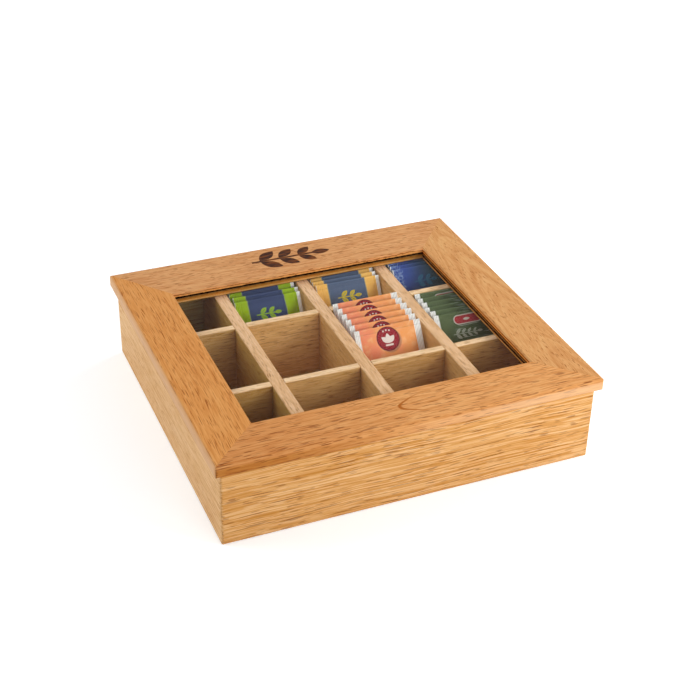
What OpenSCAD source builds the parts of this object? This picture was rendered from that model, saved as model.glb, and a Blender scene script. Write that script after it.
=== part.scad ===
// Tea bag organizer box: a mitred wooden base that an egg-crate of boards divides into
// twelve compartments, closed by a hinged frame lid with a clear window.
// X runs along the long side, Y from front to back and Z up. The origin lies below the
// lid's centre, on the surface that the box stands on. All sizes are in millimetres.

/* [Lid frame] */
// Width of the lid, left to right
lid_w = 335; // [290:1:400]
// Depth of the lid, front to back
lid_d = 312; // [270:1:380]
// Thickness of the lid's rails
lid_t = 11.5; // [10.5:0.5:18]
// Width of the front rail
front_rail_w = 45.5; // [30:0.5:60]
// Width of the left and right rails
side_rail_w = 44.7; // [30:0.1:60]
// Width of the back rail
back_rail_w = 54; // [36:0.5:70]
// Rounding along the lid's outer edges
lid_edge_r = 3.4; // [0.5:0.1:4.5]
// Rounding of the lid's corners, seen from above
lid_corner_r = 4; // [1:0.5:8]
// Chamfer along the top of the window
window_chamfer = 0.8; // [0.2:0.1:1.5]

/* [Window] */
// Wood left above the pane
lip_t = 4.5; // [3:0.1:5]
// Width of the rebate that the pane lies in
rebate_w = 8; // [5:0.5:12]
// Thickness of the pane
pane_t = 2; // [1.5:0.1:3]
// Room left round the edge of the pane
pane_play = 0.5; // [0.2:0.1:1]
// Height of the beads under the pane
bead_h = 4.8; // [2:0.1:5]
// Room left between the beads and the rebate's wall
bead_play = 0.2; // [0.1:0.1:0.8]

/* [Base] */
// How far the lid stands out over the base's left and right sides
side_overhang = 5; // [3:0.5:10]
// How far the lid stands out over the base's front
front_overhang = 5; // [3:0.5:10]
// How far the lid stands out over the base's back
back_overhang = 6; // [4.5:0.5:7]
// Height of the base's boards
base_h = 68.5; // [60:0.5:95]
// Thickness of the base's boards
board_t = 11; // [10.5:0.5:16]
// Rounding of the base's outer corners and bottom edges
base_edge_r = 3; // [0.5:0.1:4]
// Gap between the closed lid and the base
lid_gap = 0.3; // [0.2:0.1:0.6]

/* [Bottom panel] */
// Thickness of the bottom panel
panel_t = 4; // [3:0.5:8]
// Height of the panel's underside above the ground
panel_rise = 4; // [3:0.5:8]
// Depth of the boards' grooves for the panel
groove_depth = 5; // [3:0.5:6]
// Room left between the panel's edge and the bottom of the groove
groove_play = 0.3; // [0.1:0.1:0.8]

/* [Dividers] */
// Thickness of the long dividers, which run from front to back
long_divider_t = 11.5; // [6:0.5:15]
// Thickness of the cross dividers, which run from left to right
cross_divider_t = 7; // [4:0.5:12]
// Depth of the boards' housings for the dividers' ends
housing_depth = 3; // [1.5:0.5:5]
// Room left on each side of a divider in its housing
housing_play = 0.1; // [0.05:0.05:0.4]
// Room left on each side of a divider where two dividers cross
lap_play = 0.1; // [0.05:0.05:0.4]
// Chamfer along the dividers' top edges
divider_chamfer = 0.6; // [0.2:0.1:1.5]

/* [Hinges] */
// Distance from the base's side to the middle of each hinge
hinge_inset = 50; // [40:1:65]
// Length of a hinge
leaf_l = 40; // [30:1:46]
// Width of a leaf, from the pin's axis to its front edge
leaf_w = 9; // [8.5:0.1:9.5]
// Thickness of a leaf
leaf_t = 1.2; // [1:0.1:1.6]
// Outer radius of the knuckles
knuckle_r = 2.5; // [2.2:0.1:2.8]
// Length of the lid's knuckle, in the middle of the hinge
middle_knuckle_l = 14; // [8:0.5:20]
// Radius of the hinge pin
pin_r = 1; // [0.8:0.05:1.3]
// Distance from the base's back face to the pin's axis
pin_setback = 0.9; // [0.7:0.1:1.2]
// Running clearance between the pin and the lid's knuckle
pin_play = 0.05; // [0.02:0.01:0.09]
// Radius by which the pin is pressed into the base's knuckles
pin_press = 0.01; // [0.005:0.005:0.03]
// Clearance between a knuckle and what turns past it
knuckle_play = 0.3; // [0.2:0.05:0.4]
// Room left round a leaf in its recess
recess_play = 0.2; // [0.1:0.05:0.5]

/* [Screws] */
// Distance between the two screws of a leaf
screw_spacing = 26; // [20:1:28]
// Length of the screws into the base
base_screw_l = 12; // [8:0.5:20]
// Length of the screws into the lid
lid_screw_l = 9; // [6:0.5:9.5]
// Radius of a screw's shank
shank_r = 1.1; // [0.9:0.05:1.4]
// Radius of a screw's head
screw_head_r = 2.2; // [1.8:0.05:2.4]
// Height of a screw's countersunk head
screw_head_h = 1.1; // [0.8:0.05:1.15]
// Length of a screw's point
screw_tip_l = 2.5; // [1.5:0.1:4]
// Clearance round a screw in its leaf and in the wood
screw_play = 0.1; // [0.05:0.01:0.2]
// Width of the slots in a screw's head
cross_slot_w = 0.5; // [0.3:0.05:0.8]
// Length of the slots in a screw's head
cross_slot_l = 2.4; // [1.5:0.1:3]
// Depth of the slots in a screw's head
cross_slot_depth = 0.6; // [0.3:0.05:0.8]

/* [Sachets] */
// Room left on each side of a sachet in its compartment
sachet_side_play = 2.2; // [1:0.1:6]
// Room left under the window or the lid above the sachets
sachet_head_play = 0.7; // [0.4:0.1:3]
// Gap between a sachet and what it stands on or leans on
sachet_gap = 0.4; // [0.3:0.05:0.8]
// Thickness of a sachet's pressed edges
film_t = 0.8; // [0.4:0.1:1.2]
// Width of a sachet's pressed side edges
crimp_w = 6; // [3:0.5:10]
// Height of a sachet's flat top and bottom seams
seam_h = 5; // [3:0.5:8]
// Distance from a sachet's end to where it is fully thick
shoulder_h = 20; // [14:1:26]
// Spacing of the green sachets, front to back
green_pitch = 8.6; // [7:0.1:9.5]
// Spacing of the amber sachets, front to back
amber_pitch = 6.9; // [5.5:0.1:8]
// Spacing of the blue sachets, front to back
blue_pitch = 6.6; // [5.5:0.1:8]
// Spacing of the orange sachets, front to back
orange_pitch = 10; // [8:0.1:11]
// Spacing of the dark green sachets, front to back
dark_green_pitch = 8.2; // [7:0.1:10]

/* [Hidden] */
$fn = 64;

// How far a cutting shape runs past the face that it cuts
over = 1;
columns = 4;
rows = 3;

// Sides of the frame and the base, in turn from above
front = 0;
right = 1;
back = 2;
left = 3;

board_color = [0.86, 0.68, 0.45];
rail_color = [0.83, 0.58, 0.36];
divider_color = [0.88, 0.72, 0.52];
brass_color = [0.78, 0.62, 0.30];

// Lid levels, from the closed lid's underside up
lid_z = base_h + lid_gap;
lid_top = lid_z + lid_t;
pane_top = lid_top - lip_t;
pane_z = pane_top - pane_t;
bead_z = pane_z - bead_h;

// Outlines, each as [left, front, right, back]
lid_box = [-lid_w / 2, -lid_d / 2, lid_w / 2, lid_d / 2];
window_box = [
    lid_box[0] + side_rail_w, lid_box[1] + front_rail_w,
    lid_box[2] - side_rail_w, lid_box[3] - back_rail_w
];
base_box = [
    lid_box[0] + side_overhang, lid_box[1] + front_overhang,
    lid_box[2] - side_overhang, lid_box[3] - back_overhang
];
inner_box = grown(base_box, -board_t);

// Inside of the base
panel_top = panel_rise + panel_t;
lap_z = (panel_top + base_h) / 2;
room_w = (width(inner_box) - (columns - 1) * long_divider_t) / columns;
room_d = (depth(inner_box) - (rows - 1) * cross_divider_t) / rows;

// Pin axis of the hinges
pin_y = base_box[3] + pin_setback;
pin_z = base_h + lid_gap / 2;
hinge_x = base_box[2] - hinge_inset;
plate_w = leaf_w - knuckle_r - knuckle_play;
outer_knuckle_l = (leaf_l - middle_knuckle_l) / 2 - knuckle_play;

// Highest level of the sachets, under the window and under the lid's rails
under_window = pane_z - sachet_head_play;
under_rails = lid_z - sachet_head_play;

function width(box) = box[2] - box[0];
function depth(box) = box[3] - box[1];
function grown(box, by) = [box[0] - by, box[1] - by, box[2] + by, box[3] + by];
function corners(box) = [
    [box[0], box[1]], [box[2], box[1]], [box[2], box[3]], [box[0], box[3]]
];

// Left side of a column and front side of a row of compartments, counted from 0
function column_x(i) = inner_box[0] + i * (room_w + long_divider_t);
function row_y(j) = inner_box[1] + j * (room_d + cross_divider_t);

// ---- Shapes shared by several pieces ----

// What is cut away to round a corner at the origin
module corner_waste(r) {
    difference() {
        translate([-over, -over]) square(r + over);
        translate([r, r]) circle(r);
    }
}

// Rectangle with the named corners rounded: 0 and 1 are the lower ones, 2 and 3 the upper
module round_rect(size, r, which = [0, 1, 2, 3]) {
    spots = [[0, 0], [size[0], 0], [size[0], size[1]], [0, size[1]]];
    difference() {
        square(size);
        for (k = which) translate(spots[k]) rotate(90 * k) corner_waste(r);
    }
}

// Extrudes a profile of Y and Z along X
module along_x(length) {
    rotate([90, 0, 90]) linear_extrude(length) children();
}

// Extrudes a profile of X and Z along Y
module along_y(length) {
    translate([0, length, 0]) rotate([90, 0, 0]) linear_extrude(length) children();
}

// Block over an outline, from z up by h
module slab(box, z, h) {
    translate([box[0], box[1], z]) cube([width(box), depth(box), h]);
}

// Block with rounded upright corners and long edges
module rounded_slab(box, z, h, corner_r, edge_r, edges = [0, 1, 2, 3]) {
    translate([box[0], box[1], z]) intersection() {
        linear_extrude(h) round_rect([width(box), depth(box)], corner_r);
        along_x(width(box)) round_rect([depth(box), h], edge_r, edges);
        along_y(depth(box)) round_rect([width(box), h], edge_r, edges);
    }
}

// One side of a ring between two outlines, mitred from corner to corner
module mitred_side(outer, inner, side, z, h) {
    next = (side + 1) % 4;
    translate([0, 0, z]) linear_extrude(h) polygon([
        corners(outer)[side], corners(outer)[next], corners(inner)[next], corners(inner)[side]
    ]);
}

// Places its children at the pin axis of the left or right hinge
module at_hinge(side) {
    translate([side * hinge_x, pin_y, pin_z]) children();
}

// Turns a shape made for the base's half of a hinge over for the lid's half
module lid_half() {
    mirror([0, 0, 1]) children();
}

// Places its children at the heads of a leaf's two screws, which point down
module at_screws() {
    for (x = [-1, 1] * screw_spacing / 2)
        translate([x, -leaf_w + plate_w / 2, -lid_gap / 2]) children();
}

// ---- Hinges ----

// Half a hinge with its pin along X at the origin; knuckles is a list of [start, length]
module hinge_leaf(knuckles, bore_r) {
    face_z = -lid_gap / 2;
    difference() {
        union() {
            translate([-leaf_l / 2, -leaf_w, face_z - leaf_t]) cube([leaf_l, plate_w, leaf_t]);
            for (k = knuckles) translate([k[0], 0, 0]) {
                rotate([0, 90, 0]) cylinder(r = knuckle_r, h = k[1]);
                translate([0, plate_w - leaf_w - over, face_z - leaf_t])
                    cube([k[1], leaf_w - plate_w + over, leaf_t]);
            }
        }
        translate([-leaf_l / 2 - over, 0, 0]) rotate([0, 90, 0])
            cylinder(r = bore_r, h = leaf_l + 2 * over);
        at_screws() {
            translate([0, 0, -leaf_t - over])
                cylinder(r = shank_r + screw_play, h = leaf_t + 2 * over);
            translate([0, 0, -screw_head_h])
                cylinder(r1 = shank_r + screw_play, r2 = screw_head_r + screw_play, h = screw_head_h);
        }
    }
}

module base_leaf() {
    hinge_leaf([
        [-leaf_l / 2, outer_knuckle_l],
        [leaf_l / 2 - outer_knuckle_l, outer_knuckle_l]
    ], pin_r - pin_press);
}

module lid_leaf() {
    lid_half() hinge_leaf([[-middle_knuckle_l / 2, middle_knuckle_l]], pin_r + pin_play);
}

module hinge_pin() {
    translate([-leaf_l / 2, 0, 0]) rotate([0, 90, 0]) cylinder(r = pin_r, h = leaf_l);
}

// Countersunk screw pointing down, its head's face at the origin
module wood_screw(length) {
    shank_l = length - screw_head_h - screw_tip_l;
    difference() {
        union() {
            translate([0, 0, -screw_head_h])
                cylinder(r1 = shank_r, r2 = screw_head_r, h = screw_head_h);
            translate([0, 0, -screw_head_h - shank_l]) cylinder(r = shank_r, h = shank_l);
            translate([0, 0, -length]) cylinder(r1 = shank_r / 5, r2 = shank_r, h = screw_tip_l);
        }
        for (turn = [0, 90]) rotate(turn)
            translate([-cross_slot_l / 2, -cross_slot_w / 2, -cross_slot_depth])
                cube([cross_slot_l, cross_slot_w, cross_slot_depth + over]);
    }
}

// Room that a hinge needs in the wood: the leaf's recess, the barrel's and the pilot holes
module hinge_recess(screw_l) {
    recess_l = leaf_l + 2 * recess_play;
    translate([-recess_l / 2, -leaf_w - recess_play, -lid_gap / 2 - leaf_t])
        cube([recess_l, leaf_w + recess_play, leaf_t + lid_gap]);
    translate([-recess_l / 2, 0, 0]) rotate([0, 90, 0])
        cylinder(r = knuckle_r + knuckle_play, h = recess_l);
    at_screws() translate([0, 0, -screw_l - screw_play])
        cylinder(r = shank_r + screw_play, h = screw_l);
}

// ---- Base ----

module panel_groove() {
    slab(grown(inner_box, groove_depth), panel_rise, panel_t);
}

// Housings that the boards hold the dividers' ends in
module divider_housings() {
    housing_h = base_h - panel_top + over;
    for (i = [1 : columns - 1])
        translate([column_x(i) - long_divider_t - housing_play, inner_box[1] - housing_depth, panel_top])
            cube([
                long_divider_t + 2 * housing_play, depth(inner_box) + 2 * housing_depth, housing_h
            ]);
    for (j = [1 : rows - 1])
        translate([inner_box[0] - housing_depth, row_y(j) - cross_divider_t - housing_play, panel_top])
            cube([
                width(inner_box) + 2 * housing_depth, cross_divider_t + 2 * housing_play, housing_h
            ]);
}

module board(side) {
    color(board_color) difference() {
        intersection() {
            rounded_slab(base_box, 0, base_h, base_edge_r, base_edge_r, [0, 1]);
            mitred_side(base_box, inner_box, side, -over, base_h + 2 * over);
        }
        panel_groove();
        divider_housings();
        if (side == back) for (hinge = [-1, 1]) at_hinge(hinge) hinge_recess(base_screw_l);
    }
}

module bottom_panel() {
    color(divider_color) slab(grown(inner_box, groove_depth - groove_play), panel_rise, panel_t);
}

// Upright board's end profile, chamfered along its top
module divider_profile(t) {
    h = base_h - panel_top;
    c = divider_chamfer;
    polygon([[0, 0], [t, 0], [t, h - c], [t - c, h], [c, h], [0, h - c]]);
}

// Divider from front to back, between columns i - 1 and i, notched from below
module long_divider(i) {
    reach = housing_depth - housing_play;
    color(divider_color) difference() {
        translate([column_x(i) - long_divider_t, inner_box[1] - reach, panel_top])
            along_y(depth(inner_box) + 2 * reach) divider_profile(long_divider_t);
        for (j = [1 : rows - 1])
            translate([
                column_x(i) - long_divider_t - over, row_y(j) - cross_divider_t - lap_play,
                panel_top - over
            ])
                cube([
                    long_divider_t + 2 * over, cross_divider_t + 2 * lap_play,
                    lap_z - panel_top + over
                ]);
    }
}

// Divider from left to right, between rows j - 1 and j, notched from above
module cross_divider(j) {
    reach = housing_depth - housing_play;
    color(divider_color) difference() {
        translate([inner_box[0] - reach, row_y(j) - cross_divider_t, panel_top])
            along_x(width(inner_box) + 2 * reach) divider_profile(cross_divider_t);
        for (i = [1 : columns - 1])
            translate([
                column_x(i) - long_divider_t - lap_play, row_y(j) - cross_divider_t - over, lap_z
            ])
                cube([
                    long_divider_t + 2 * lap_play, cross_divider_t + 2 * over, base_h - lap_z + over
                ]);
    }
}

// ---- Lid ----

// Cuts the chamfer along one side of the window
module window_chamfer_cut(side) {
    edge = window_chamfer * sqrt(2);
    middle = [(window_box[0] + window_box[2]) / 2, (window_box[1] + window_box[3]) / 2];
    lengthwise = side == front || side == back;
    x = side == left ? window_box[0] : window_box[2];
    y = side == front ? window_box[1] : window_box[3];
    if (lengthwise)
        translate([middle[0], y, lid_top]) rotate([45, 0, 0])
            cube([width(window_box) + 4 * window_chamfer, edge, edge], center = true);
    else
        translate([x, middle[1], lid_top]) rotate([0, 45, 0])
            cube([edge, depth(window_box) + 4 * window_chamfer, edge], center = true);
}

module lid_rail(side) {
    rebate_box = grown(window_box, rebate_w);
    color(rail_color) difference() {
        intersection() {
            rounded_slab(lid_box, lid_z, lid_t, lid_corner_r, lid_edge_r);
            mitred_side(lid_box, window_box, side, lid_z - over, lid_t + 2 * over);
        }
        slab(rebate_box, lid_z - over, pane_top - lid_z + over);
        window_chamfer_cut(side);
        if (side == back) for (hinge = [-1, 1]) at_hinge(hinge) lid_half() hinge_recess(lid_screw_l);
    }
}

module window_pane() {
    color([0.85, 0.92, 0.92, 0.3]) slab(grown(window_box, rebate_w - pane_play), pane_z, pane_t);
}

module bead(side) {
    color(rail_color)
        mitred_side(grown(window_box, rebate_w - bead_play), window_box, side, bead_z, bead_h);
}

// ---- Sachets ----

// Upright sachet on the origin, with flat pressed edges round a full middle
module sachet(w, length, full_t) {
    translate([-w / 2, -film_t / 2, 0]) cube([w, film_t, length]);
    translate([crimp_w - w / 2, 0, 0]) along_x(w - 2 * crimp_w) polygon([
        [0, seam_h], [full_t / 2, shoulder_h], [full_t / 2, length - shoulder_h],
        [0, length - seam_h], [-full_t / 2, length - shoulder_h], [-full_t / 2, shoulder_h]
    ]);
}

// Sachets in a compartment, up to top_z. The first stands against the compartment's front,
// and all lean back as far as the last one can, against the edge behind it.
module sachet_stack(column, row, count, pitch, top_z) {
    bottom_z = panel_top + sachet_gap + film_t / 2;
    // Depth over which a sachet leans; its own thickness takes under 2 film_t at any lean below 60
    run = room_d - 2 * sachet_gap - 2 * film_t - (count - 1) * pitch;
    lean = atan(run / (min(top_z, base_h) - bottom_z));
    length = (top_z - bottom_z) / cos(lean);
    first_y = row_y(row) + sachet_gap + film_t;
    for (k = [0 : count - 1])
        translate([column_x(column) + room_w / 2, first_y + k * pitch, bottom_z])
            rotate([-lean, 0, 0])
                sachet(room_w - 2 * sachet_side_play, length, pitch * cos(lean) - sachet_gap);
}

// ---- Named pieces ----

module front_board() { board(front); }
module back_board() { board(back); }
module left_board() { board(left); }
module right_board() { board(right); }

module long_divider_left() { long_divider(1); }
module long_divider_middle() { long_divider(2); }
module long_divider_right() { long_divider(3); }
module cross_divider_front() { cross_divider(1); }
module cross_divider_back() { cross_divider(2); }

module left_hinge_base_leaf() { color(brass_color) at_hinge(-1) base_leaf(); }
module right_hinge_base_leaf() { color(brass_color) at_hinge(1) base_leaf(); }
module left_hinge_pin() { color(brass_color) at_hinge(-1) hinge_pin(); }
module right_hinge_pin() { color(brass_color) at_hinge(1) hinge_pin(); }
module left_hinge_lid_leaf() { color(brass_color) at_hinge(-1) lid_leaf(); }
module right_hinge_lid_leaf() { color(brass_color) at_hinge(1) lid_leaf(); }

module base_hinge_screws() {
    color(brass_color) for (hinge = [-1, 1]) at_hinge(hinge) at_screws() wood_screw(base_screw_l);
}
module lid_hinge_screws() {
    color(brass_color) for (hinge = [-1, 1])
        at_hinge(hinge) lid_half() at_screws() wood_screw(lid_screw_l);
}

module lid_front_rail() { lid_rail(front); }
module lid_back_rail() { lid_rail(back); }
module lid_left_rail() { lid_rail(left); }
module lid_right_rail() { lid_rail(right); }

module front_bead() { bead(front); }
module back_bead() { bead(back); }
module left_bead() { bead(left); }
module right_bead() { bead(right); }

module sachets_green() {
    color([0.55, 0.75, 0.22]) sachet_stack(1, 2, 7, green_pitch, under_rails);
}
module sachets_amber() {
    color([0.85, 0.68, 0.30]) sachet_stack(2, 2, 8, amber_pitch, under_rails);
}
module sachets_blue() {
    color([0.25, 0.33, 0.58]) sachet_stack(3, 2, 8, blue_pitch, under_rails);
}
module sachets_orange() {
    color([0.95, 0.55, 0.35]) sachet_stack(2, 1, 6, orange_pitch, under_window);
}
module sachets_dark_green() {
    color([0.22, 0.33, 0.24]) sachet_stack(3, 1, 6, dark_green_pitch, under_rails);
}

front_board();
back_board();
left_board();
right_board();
bottom_panel();
long_divider_left();
long_divider_middle();
long_divider_right();
cross_divider_front();
cross_divider_back();
left_hinge_base_leaf();
right_hinge_base_leaf();
left_hinge_pin();
right_hinge_pin();
base_hinge_screws();
lid_front_rail();
lid_back_rail();
lid_left_rail();
lid_right_rail();
window_pane();
front_bead();
back_bead();
left_bead();
right_bead();
left_hinge_lid_leaf();
right_hinge_lid_leaf();
lid_hinge_screws();
sachets_green();
sachets_amber();
sachets_blue();
sachets_orange();
sachets_dark_green();
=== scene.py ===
import math
import random

import bmesh
import bpy
from mathutils import Matrix, Vector


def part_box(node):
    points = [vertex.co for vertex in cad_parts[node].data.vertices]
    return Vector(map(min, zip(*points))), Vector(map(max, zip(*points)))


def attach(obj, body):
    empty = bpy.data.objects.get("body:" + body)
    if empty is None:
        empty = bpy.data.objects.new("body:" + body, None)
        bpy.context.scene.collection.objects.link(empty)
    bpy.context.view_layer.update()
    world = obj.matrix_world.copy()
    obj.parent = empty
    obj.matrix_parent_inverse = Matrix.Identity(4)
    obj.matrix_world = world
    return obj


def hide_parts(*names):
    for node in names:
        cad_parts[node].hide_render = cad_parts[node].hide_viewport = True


mm = 0.001

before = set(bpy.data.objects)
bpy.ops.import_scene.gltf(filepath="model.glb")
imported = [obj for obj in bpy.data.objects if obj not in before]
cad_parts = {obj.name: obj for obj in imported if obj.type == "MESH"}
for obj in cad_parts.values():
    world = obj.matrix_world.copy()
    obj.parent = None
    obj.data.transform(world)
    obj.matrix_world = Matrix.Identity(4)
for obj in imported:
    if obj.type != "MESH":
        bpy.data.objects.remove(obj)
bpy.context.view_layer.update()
print("frame loaded,", len(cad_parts), "nodes")


def tone(red, green, blue):
    # screen values 0 to 255, made linear
    parts = [v / 255 for v in (red, green, blue)]
    return tuple(p / 12.92 if p <= 0.04045 else ((p + 0.055) / 1.055) ** 2.4 for p in parts) + (1,)


def addObject(name, data):
    made = bpy.data.objects.new(name, data)
    bpy.context.scene.collection.objects.link(made)
    return made


def addNode(tree, kind, **settings):
    made = tree.nodes.new(kind)
    for name, value in settings.items():
        setattr(made, name, value)
    return made


def feed(socket, value):
    if isinstance(value, bpy.types.NodeSocket):
        socket.id_data.links.new(value, socket)
    else:
        socket.default_value = value


def feedAll(sockets, values):
    for socket, value in zip(sockets, values):
        feed(socket, value)


def feedNamed(node, values):
    for label, value in values.items():
        feed(node.inputs[label], value)


def addStep(tree, kind, inputs, output=0, **settings):
    made = addNode(tree, kind, **settings)
    feedNamed(made, inputs)
    return made.outputs[output]


def treeOf(*values):
    # the node tree that the sockets among the values are in
    return next(value.id_data for value in values if isinstance(value, bpy.types.NodeSocket))


def mathStep(operation, kind="ShaderNodeMath", output=0):
    def step(*values):
        made = addNode(treeOf(*values), kind, operation=operation)
        feedAll(made.inputs, values)
        return made.outputs[output]
    return step


def vectorStep(operation, output="Vector"):
    return mathStep(operation, "ShaderNodeVectorMath", output)


plus, minus, times, divided = map(mathStep, ("ADD", "SUBTRACT", "MULTIPLY", "DIVIDE"))
timesPlus, absolute = map(mathStep, ("MULTIPLY_ADD", "ABSOLUTE"))
highest, lowest = map(mathStep, ("MAXIMUM", "MINIMUM"))
isBelow, isAbove, sine, squareRoot = map(mathStep, ("LESS_THAN", "GREATER_THAN", "SINE", "SQRT"))
vectorPlus, vectorMinus = map(vectorStep, ("ADD", "SUBTRACT"))
vectorTimes, vectorLowest = map(vectorStep, ("MULTIPLY", "MINIMUM"))
vectorLength = vectorStep("LENGTH", "Value")


def splitVector(vector):
    made = addNode(treeOf(vector), "ShaderNodeSeparateXYZ")
    feed(made.inputs[0], vector)
    return list(made.outputs)


def joinVector(x=0.0, y=0.0, z=0.0):
    made = addNode(treeOf(x, y, z), "ShaderNodeCombineXYZ")
    feedAll(made.inputs, (x, y, z))
    return made.outputs[0]


def slide(value, low, high, toLow=0.0, toHigh=1.0, kind="SMOOTHSTEP"):
    made = addNode(treeOf(value), "ShaderNodeMapRange", interpolation_type=kind)
    feedAll(made.inputs, (value, low, high, toLow, toHigh))
    return made.outputs[0]


def past(value, edge, soft):
    return slide(value, edge - soft, edge + soft)


def within(value, edge, soft):
    return slide(value, edge + soft, edge - soft)


def between(value, low, high, soft=0.15):
    return times(past(value, low, soft), within(value, high, soft))


def mixTone(share, first, second, blend="MIX"):
    made = addNode(treeOf(share, first, second), "ShaderNodeMix", data_type="RGBA", blend_type=blend)
    feedAll((made.inputs[0], made.inputs[6], made.inputs[7]), (share, first, second))
    return made.outputs[2]


def mixTones(share, tones):
    return mixTone(share, *(tone(*part) for part in tones))


def multiplied(colour, shade, share=1.0):
    return mixTone(share, colour, shade, "MULTIPLY")


def paintLayers(colour, layers):
    # each layer is a mask and the tone or colour socket laid on there
    for mask, paint in layers:
        paint = tone(*paint) if isinstance(paint, tuple) else paint
        colour = mixTone(mask, colour, paint)
    return colour


def noise(vector, scale=1.0, detail=2.0, roughness=0.5, colour=False):
    # scale is one number, or one for each direction
    if isinstance(scale, tuple):
        vector, scale = vectorTimes(vector, scale), 1.0
    inputs = {"Vector": vector, "Scale": scale, "Detail": detail, "Roughness": roughness}
    return addStep(treeOf(vector), "ShaderNodeTexNoise", inputs, 1 if colour else 0)


def lineNoise(along, detail, roughness):
    inputs = {"W": along, "Scale": 1.0, "Detail": detail, "Roughness": roughness}
    return addStep(treeOf(along), "ShaderNodeTexNoise", inputs, noise_dimensions="1D")


def addSockets(tree, wanted, way):
    for label, kind in wanted.items():
        tree.interface.new_socket(name=label, in_out=way, socket_type="NodeSocket" + kind)


def newGroup(name, inputs, outputs):
    tree = bpy.data.node_groups.new(name, "ShaderNodeTree")
    addSockets(tree, inputs, "INPUT")
    addSockets(tree, outputs, "OUTPUT")
    return tree, addNode(tree, "NodeGroupInput").outputs, addNode(tree, "NodeGroupOutput").inputs


def useGroup(tree, group, **values):
    made = addNode(tree, "ShaderNodeGroup", node_tree=group)
    feedNamed(made, values)
    return made.outputs


def newMaterial(name):
    material = bpy.data.materials.new(name)
    material.use_nodes = True
    tree = material.node_tree
    return material, tree, tree.nodes["Principled BSDF"]


def objectPlace(tree):
    return addNode(tree, "ShaderNodeTexCoord").outputs["Object"]


def addBump(shader, height):
    # height is in millimetres
    inputs = {"Strength": 1.0, "Distance": mm, "Height": height}
    feed(shader.inputs["Normal"], addStep(treeOf(height), "ShaderNodeBump", inputs))


timberKnobs = {
    # patterns: how often they repeat in a millimetre, along the grain and twice across it
    "stray": (0.006, 0.02, 0.02), "fibre": (0.2, 3.4, 3.4), "mottle": (0.012, 0.035, 0.035),
    "clump": (0.016, 0.09, 0.09), "streakAcross": 1.1,
    "strayReach": 5.0,     # millimetres that a growth line strays from straight
    # thin lines: where their noise starts, how often it repeats, and their tone
    "lines": (((57, 29, 11), (0.04, 0.95, 0.95), "Pale"), ((31, 17, 5), (0.07, 1.05, 1.05), "Pore")),
    "lineSoft": 0.06, "lineClump": 0.16,
    "poreSize": 0.2, "poreSizeSpread": 0.14, "poreCore": 0.6, "poreFaintest": 0.4,
    "rough": 0.5, "streakRough": 0.08, "poreRough": 0.25,
    "poreDeep": 0.02, "streakDeep": 0.006, "fibreDeep": 0.012,    # millimetres
    "arrisWidth": 1.3 * mm, "arrisWear": 0.55, "arrisRough": 0.08,
    "arrisRepeat": 260, "arrisSpread": (0.4, 1.6),
}


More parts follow.
